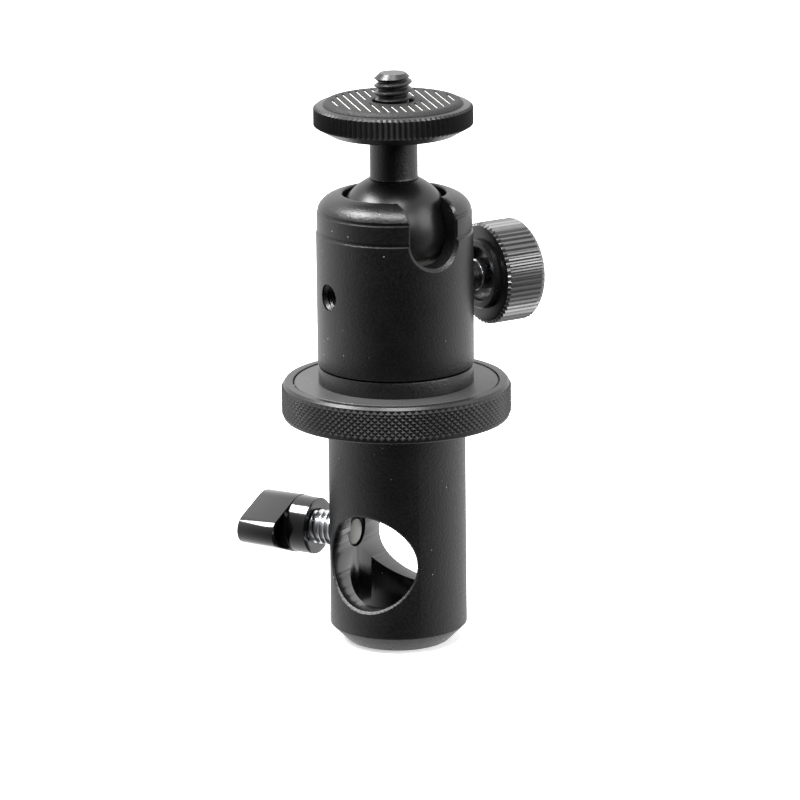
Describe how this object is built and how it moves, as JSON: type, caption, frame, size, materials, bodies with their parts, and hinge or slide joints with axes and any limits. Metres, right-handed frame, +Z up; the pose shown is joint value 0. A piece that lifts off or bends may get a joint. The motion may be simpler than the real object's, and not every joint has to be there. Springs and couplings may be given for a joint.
{
  "type": "umbrella swivel bracket",
  "caption": "Small camera ball head on a lockable turntable and a clamped light-stand socket with an upright bore and a cross bore.",
  "frame": {"origin": "middle of the bottom rim of the socket's upright bore", "axes": "+Z up the socket and the ball head at rest, Y along the cross bore, the clamp screw points to -X"},
  "size_m": [0.0458, 0.0452, 0.0975],
  "materials": {
    "black_metal": "satin black anodised aluminium with a fine grain",
    "deck_metal": "satin grey-black anodised aluminium",
    "dark_steel": "black oxide steel",
    "bright_steel": "bright zinc plate",
    "brass": "machined",
    "nylon": "natural nylon",
    "fibre": "hard fibre",
    "pad_rubber": "grained black rubber",
    "gloss_black": "glossy moulded plastic"
  },
  "bodies": {
    "socket": {"socket_body": "black_metal", "slip_washer": "fibre"},
    "lock_ring": {"lock_ring": "black_metal"},
    "head": {"pan_plate": "deck_metal", "glide_washer": "nylon", "centre_bolt": "bright_steel", "bolt_washer": "bright_steel", "head_base": "black_metal", "head_housing": "black_metal", "ball_seat": "nylon", "seat_spring": "bright_steel", "grub_screw": "dark_steel"},
    "thrust_pin": {"thrust_pin": "brass"},
    "knob": {"knob_screw": "bright_steel", "lock_knob": "black_metal"},
    "ball": {"ball": "black_metal"},
    "stem": {"neck": "black_metal", "platform_disc": "black_metal", "platform_pad": "pad_rubber", "camera_screw": "dark_steel"},
    "clamp_tip": {"pressure_tip": "nylon"},
    "clamp": {"clamp_bolt": "bright_steel", "wing_handle": "gloss_black"}
  },
  "joints": [
    {"name": "ring_turn", "type": "hinge", "parent": "socket", "child": "lock_ring", "pos_m": [0, 0, 0.042], "axis": [0, 0, 1], "range_deg": [0, 30]},
    {"name": "head_pan", "type": "hinge", "parent": "socket", "child": "head", "pos_m": [0, 0, 0.045], "axis": [0, 0, 1], "continuous": true},
    {"name": "ball_tilt", "type": "hinge", "parent": "head", "child": "ball", "pos_m": [0, 0, 0.071], "axis": [0.4695, 0.8829, 0], "range_deg": [-30, 90]},
    {"name": "stem_spin", "type": "hinge", "parent": "ball", "child": "stem", "pos_m": [0, 0, 0.071], "axis": [0, 0, 1], "continuous": true},
    {"name": "knob_travel", "type": "slide", "parent": "head", "child": "thrust_pin", "axis": [0.4695, 0.8829, 0], "range_m": [0, 0.001]},
    {"name": "knob_turn", "type": "hinge", "parent": "thrust_pin", "child": "knob", "pos_m": [0.0094, 0.0177, 0.061], "axis": [0.4695, 0.8829, 0], "range_deg": [-6, 366]},
    {"name": "clamp_travel", "type": "slide", "parent": "socket", "child": "clamp_tip", "axis": [-1, 0, 0], "range_m": [-0.003, 0.0025]},
    {"name": "clamp_turn", "type": "hinge", "parent": "clamp_tip", "child": "clamp", "pos_m": [-0.018, 0, 0.0172], "axis": [-1, 0, 0], "range_deg": [-1100, 920]}
  ],
  "couplings": [
    {"joint": "knob_turn", "follows": "knob_travel", "rad_per_m": 6283.2},
    {"joint": "clamp_turn", "follows": "clamp_travel", "rad_per_m": 6283.2}
  ]
}
